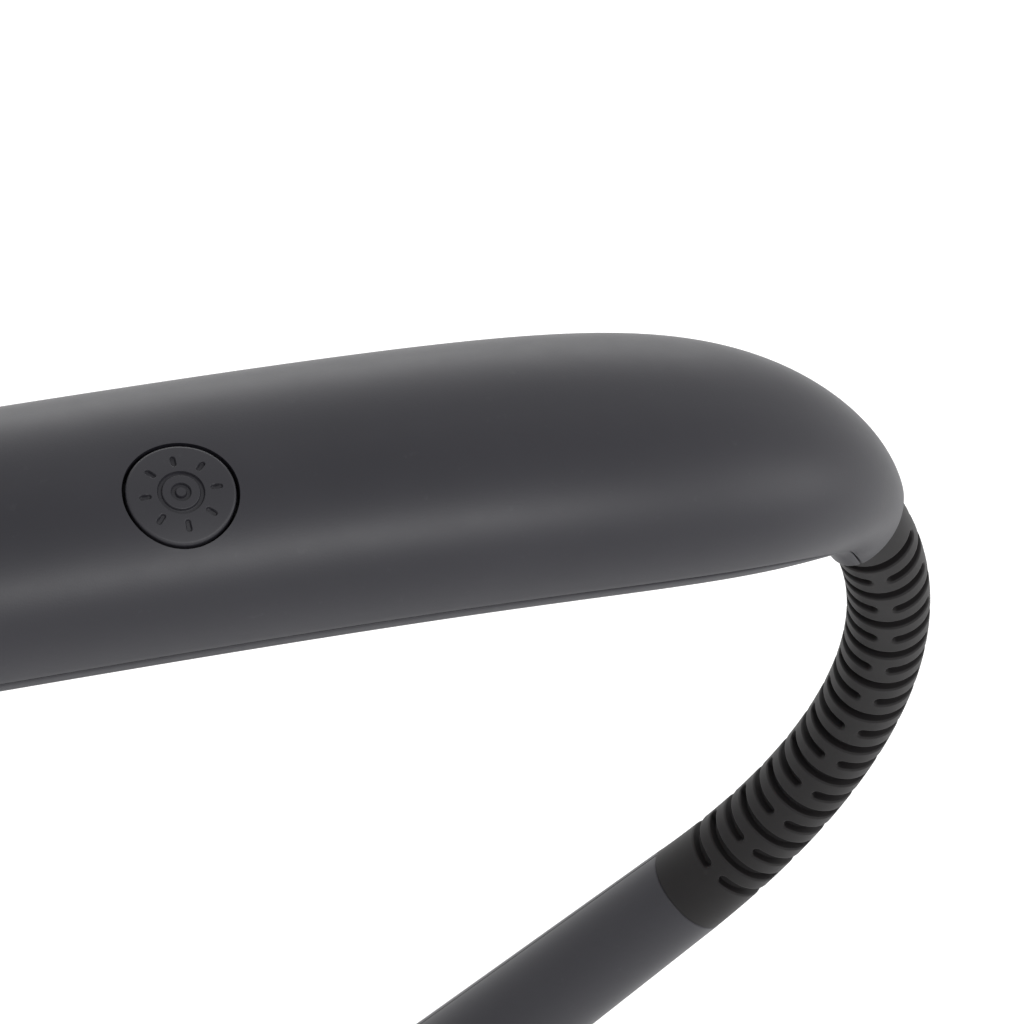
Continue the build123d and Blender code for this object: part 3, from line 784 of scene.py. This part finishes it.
def half_band(name, row, body, side):
    """The part of a band on one side of its hinge, closed by a flat face and riding on that body."""
    s = FIRST_SLOT + SLOT_PITCH * row
    origin, _, _, along = axes(s)
    half = add_object(name, *band_mesh(row), MATERIALS["black_rubber"], None, angle=50)
    work = bmesh.new()
    work.from_mesh(half.data)
    whole = work.verts[:] + work.edges[:] + work.faces[:]
    bmesh.ops.bisect_plane(work, geom=whole, dist=1e-7, plane_co=origin * MM, plane_no=along * side,
                           clear_inner=True)
    rim = [edge for edge in work.edges if edge.is_boundary]
    bmesh.ops.triangle_fill(work, edges=rim, use_beauty=True)
    bmesh.ops.recalc_face_normals(work, faces=work.faces)
    work.to_mesh(half.data)
    work.free()
    smooth(half.data, 50.0)
    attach(half, body)


def build_sleeve():
    """The sleeve's bands: rigid, cut in two at each bending hinge, or whole and riding on no body over a
    swinging one.
    """
    rubber = MATERIALS["black_rubber"]
    for row in range(SLOT_ROWS):
        s = FIRST_SLOT + SLOT_PITCH * row
        joint = joint_near(place(s, 0.0, 0.0))
        name = f"sleeve_band_{row:02d}"
        if joint is None:
            body = joint_near(place(s + SLOT_PITCH, 0.0, 0.0))["child"]
            covers = [f"sleeve_segment_{body[-2:]}"] if body.startswith("neck_") else []
            add_object(name, *band_mesh(row), rubber, body, "black_rubber", covers, angle=50)
            continue
        if row % 2 == 1:
            half_band(f"{name}_upper", row, joint["child"], -1)
            half_band(f"{name}_lower", row, joint["parent"], 1)
            continue
        band = add_object(name, *band_mesh(row), rubber, None, "black_rubber", angle=50)
        origin, _, _, along = axes(s)
        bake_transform(band)
        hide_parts(*[f"sleeve_segment_{joint[side][-2:]}" for side in ("child", "parent")])
    stations = np.concatenate([[-5.0, -4.0, -3.0], np.linspace(-2.5, FIRST_SLOT - SLOT_PITCH / 2, 14)])
    outer = tube_grid(stations, lambda s: float(sleeve_radius(s)))
    inner = tube_grid(stations, lambda s: SLEEVE_BORE)
    add_object("sleeve_collar_top", *wall_mesh(outer, inner, True), rubber, "head", "black_rubber",
               ["sleeve_collar_head"])
    stations = np.linspace(FIRST_SLOT + SLOT_PITCH * (SLOT_ROWS - 0.5), NECK_LENGTH, 12)
    outer = tube_grid(stations, lambda s: float(sleeve_radius(s)))
    inner = tube_grid(stations, lambda s: SLEEVE_BORE)
    add_object("sleeve_collar_foot", *wall_mesh(outer, inner, True), rubber, "arm", "black_rubber",
               ["sleeve_collar_arm"])


# ================================================================ arm
def arm_half(first):
    """Outer and inner grids of one half of the arm, from its seam at angle first."""
    lips = np.radians(np.linspace(90, 0, 4))
    downs = np.linspace(0.3, ARM_LENGTH - 0.3, 60)
    stations = [(0.05 + LIP * (1 - math.sin(a)), LIP * (1 - math.cos(a))) for a in lips]
    stations += [(d, 0.0) for d in downs]
    stations += [(ARM_LENGTH - LIP * (1 - math.sin(a)), LIP * (1 - math.cos(a))) for a in lips[::-1]]
    outer, inner = [], []
    for down, sink in stations:
        radius = ARM_TOP_RADIUS + (ARM_FOOT_RADIUS - ARM_TOP_RADIUS) * down / ARM_LENGTH
        gap = SEAM_GAP / 4 / radius
        edge = [(gap + LIP * (1 - math.sin(a)) / radius, LIP * (1 - math.cos(a))) for a in lips]
        flat = gap + LIP / radius
        angles = [g for g, _ in edge] + list(np.linspace(flat, math.pi - flat, 90)[1:-1])
        sinks = [k for _, k in edge] + [0.0] * 88
        angles += [math.pi - g for g, _ in edge[::-1]]
        sinks += [k for _, k in edge[::-1]]
        angle = first + np.array(angles)
        r = radius - np.maximum(np.array(sinks), sink)
        outer.append(place(NECK_LENGTH + down, r * np.cos(angle), r * np.sin(angle)))
        r = radius - ARM_WALL
        inner.append(place(NECK_LENGTH + down, r * np.cos(angle), r * np.sin(angle)))
    return wall_mesh(np.array(outer), np.array(inner))


def build_arm():
    """The arm's two shells, with the screws' holes in the rear one."""
    first = math.radians(-ARM_SEAM_TURN)
    plastic = MATERIALS["charcoal_plastic"]
    rear = add_object("arm_rear", *arm_half(first), plastic, "arm", "charcoal_plastic", ["arm_rear_shell"])
    turn = math.radians(ARM_SEAM_TURN)
    holes = []
    for down in ARM_SCREW_SPOTS:
        origin, across, outer, along = axes(NECK_LENGTH + down)
        x_dir = across * math.cos(turn) - outer * math.sin(turn)
        hole = circle(ARM_SCREW_HOLE_RADIUS, 64)
        holes.append(prism(origin, x_dir, -along, np.cross(x_dir, -along), hole, 3.2, 9))
    carve(rear, holes)
    add_object("arm_front", *arm_half(first + math.pi), plastic, "arm", "charcoal_plastic",
               ["arm_front_shell"])


# ================================================================ clip pads
def build_pad(node, body, face_up):
    """A jaw's rubber pad with ribs across the face that grips."""
    low, high = [np.array(corner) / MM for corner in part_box(node)]
    middle, size = (low + high) / 2, high - low
    x_dir, y_dir, z_dir = np.eye(3)
    outline = rounded_rectangle(size[0], size[1], PAD_CORNER)
    block = prism(middle, x_dir, y_dir, z_dir, outline, -size[2] / 2, size[2] / 2)
    pad = add_object(f"{node}_ribbed", *block, MATERIALS["grip_rubber"], None)
    side = 1 if face_up else -1
    floor = side * (size[2] / 2 - RIB_DEPTH)
    groove = rounded_rectangle(RIB_GAP, size[1] + 2, 0.1, 2)
    bottom, top = sorted((floor, side * 5))
    cutters = []
    for k in range(RIB_COUNT):
        origin = middle + (k - (RIB_COUNT - 1) / 2) * RIB_PITCH * x_dir
        cutters.append(prism(origin, x_dir, y_dir, z_dir, groove, bottom, top))
    carve(pad, cutters)
    soften(pad, 0.18, 2, 40.0)
    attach(pad, body)
    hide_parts(node)


# ================================================================ carried-over CAD nodes
def finish_cad_nodes():
    """Every CAD node gets its slot's material; the clip's jaws, hinge pin and screw also get rounded edges.
    """
    rounded = {"clip_lower_jaw": 0.35, "clip_upper_jaw": 0.35, "hinge_pin": 0.2, "clip_screw": 0.2}
    for name, node in frame["nodes"].items():
        slot = node.data.materials[0].name.split(".")[0]
        node.data.materials.clear()
        node.data.materials.append(MATERIALS[slot])
        if name in rounded:
            soften(node, rounded[name], 3, 30.0, 0.002)


# ================================================================ stage, light, camera
def build_stage():
    """A plain pale floor."""
    bpy.ops.mesh.primitive_plane_add(size=6.0, location=(0, 0, 0))
    floor = bpy.context.object
    floor.name = "floor"
    material, _, shader = new_material("floor")
    socket(shader, "Base Color", (0.92, 0.92, 0.92, 1.0))
    socket(shader, "Roughness", 0.9)
    socket(shader, "Specular IOR Level", 0.1)
    socket(shader, "Emission Color", (1.0, 1.0, 1.0, 1.0))
    socket(shader, "Emission Strength", 0.36)
    floor.data.materials.append(material)


def area_light(name, aim, azimuth, elevation, distance, size, power, tall=None):
    """A soft box looking at aim; azimuth 0 is in front and 90 on the right."""
    a, e = math.radians(azimuth), math.radians(elevation)
    back = Vector((math.sin(a) * math.cos(e), -math.cos(a) * math.cos(e), math.sin(e)))
    data = bpy.data.lights.new(name, "AREA")
    data.shape = "RECTANGLE"
    data.size, data.size_y = size, tall or size
    data.energy = power
    lamp = bpy.data.objects.new(name, data)
    lamp.location = Vector(aim) + back * distance
    lamp.rotation_mode = "QUATERNION"
    lamp.rotation_quaternion = (-back).to_track_quat("-Z", "Y")
    bpy.context.scene.collection.objects.link(lamp)


def build_light():
    """A white surround, dimmer overhead, and four soft boxes."""
    world = bpy.data.worlds.new("studio")
    bpy.context.scene.world = world
    world.use_nodes = True
    tree = world.node_tree
    background = tree.nodes["Background"]
    socket(background, "Color", (1.0, 1.0, 1.0, 1.0))
    coords = tree.nodes.new("ShaderNodeTexCoord")
    split = tree.nodes.new("ShaderNodeSeparateXYZ")
    tree.links.new(coords.outputs["Generated"], split.inputs["Vector"])
    level = remap(tree, split.outputs["Z"], 0.0, 0.7, 1.0, 0.62)
    tree.links.new(level, background.inputs["Strength"])
    middle = (0.03, 0.0, 0.13)
    area_light("front", middle, 22, 52, 0.55, 0.16, 0.9, 0.07)
    area_light("front_left", middle, -62, 62, 0.55, 0.2, 0.1)
    area_light("side", middle, 75, 20, 0.7, 0.35, 1.0)
    area_light("back", middle, 170, 10, 0.7, 0.7, 1.6, 0.25)
    bpy.context.scene.view_settings.view_transform = "Standard"


def build_camera():
    """The long lens that looks down on the head's button and nose."""
    aim = Vector((33.64, 10.26, 147.42)) * MM
    azimuth, elevation = math.radians(-15.2), math.radians(54.8)
    back = Vector((math.sin(azimuth) * math.cos(elevation), -math.cos(azimuth) * math.cos(elevation),
                   math.sin(elevation)))
    data = bpy.data.cameras.new("camera")
    data.lens = 175.8
    data.clip_start, data.clip_end = 0.01, 20.0
    camera = bpy.data.objects.new("camera", data)
    camera.location = aim + back * 0.5359
    camera.rotation_mode = "QUATERNION"
    camera.rotation_quaternion = (-back).to_track_quat("-Z", "Y")
    bpy.context.scene.collection.objects.link(camera)
    bpy.context.scene.camera = camera


build_head_shells()
build_button()
build_sleeve()
build_arm()
build_pad("lower_pad", "base", True)
build_pad("upper_pad", "arm", False)
finish_cad_nodes()
build_stage()
build_light()
build_camera()
